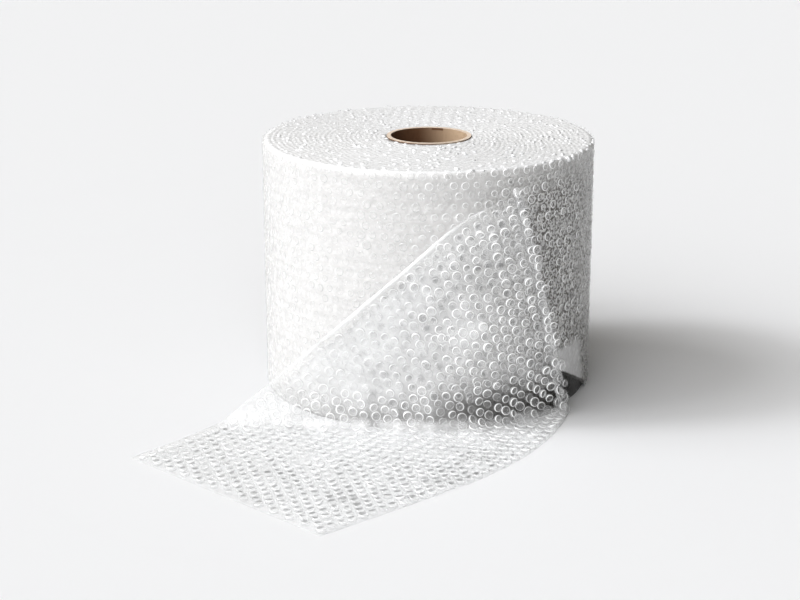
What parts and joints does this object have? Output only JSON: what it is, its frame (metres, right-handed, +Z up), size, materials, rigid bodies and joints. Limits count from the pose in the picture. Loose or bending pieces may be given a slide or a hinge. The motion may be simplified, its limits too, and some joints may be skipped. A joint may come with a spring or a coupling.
{
  "type": "air-bubble cushioning film roll",
  "caption": "Standing roll of clear air-bubble cushioning film on a paperboard core, with its outer end folded back and run out flat along the floor.",
  "frame": {"origin": "centre of the core's bore at the floor", "axes": "+Z up along the core's axis, -Y towards the front where the loose film lies"},
  "size_m": [0.4308, 0.5768, 0.25],
  "materials": {
    "paperboard": "matte kraft paperboard",
    "clear_film": "clear soft polyethylene, glossy bubbles, milky where many turns lie together"
  },
  "bodies": {
    "root": {"core_tube": "paperboard", "bubble_film": "clear_film"}
  },
  "joints": []
}
